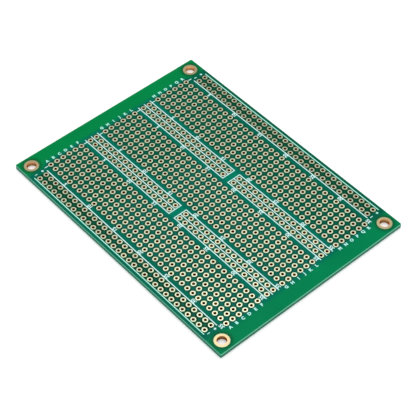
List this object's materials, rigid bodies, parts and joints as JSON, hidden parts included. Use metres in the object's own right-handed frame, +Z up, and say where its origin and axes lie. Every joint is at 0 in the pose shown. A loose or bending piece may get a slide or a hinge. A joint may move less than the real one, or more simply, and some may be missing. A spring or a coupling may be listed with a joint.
{
  "type": "prototype board",
  "caption": "Flat rectangular prototype board: a thin green sheet with a square grid of plated lead holes in joined strips, white guide lines and a mounting hole in each corner.",
  "frame": {"origin": "on the plane that the board lies on, below the middle of its outline", "axes": "+X across the columns from the first letter to the last, +Y from the last row to row 1, +Z up out of the printed face"},
  "size_m": [0.0762, 0.1016, 0.0016],
  "materials": {
    "glass_epoxy": "sawn edge of woven glass in epoxy resin, pale yellow-green, slightly translucent",
    "solder_mask": "cured green lacquer, glossy, a little lighter where copper lies under it",
    "plated_copper": "copper with a thin pale gold plating, bright on the flat pads",
    "white_ink": "screen-printed white epoxy ink, satin"
  },
  "bodies": {
    "root": {"substrate": "glass_epoxy", "mask_top": "solder_mask", "mask_bottom": "solder_mask", "row_strips_a_f": "plated_copper", "row_strips_g_l": "plated_copper", "row_strips_m_r": "plated_copper", "rail_left_minus": "plated_copper", "rail_left_plus": "plated_copper", "rail_right_minus": "plated_copper", "rail_right_plus": "plated_copper", "bus_1_back": "plated_copper", "bus_1_front": "plated_copper", "bus_2_back": "plated_copper", "bus_2_front": "plated_copper", "bus_3_back": "plated_copper", "bus_3_front": "plated_copper", "bus_4_back": "plated_copper", "bus_4_front": "plated_copper", "mounting_ring_back_left": "plated_copper", "mounting_ring_back_right": "plated_copper", "mounting_ring_front_left": "plated_copper", "mounting_ring_front_right": "plated_copper", "lines_rail_left": "white_ink", "lines_rail_right": "white_ink", "frame_buses_left_back": "white_ink", "frame_buses_left_front": "white_ink", "frame_buses_right_back": "white_ink", "frame_buses_right_front": "white_ink"}
  },
  "joints": []
}
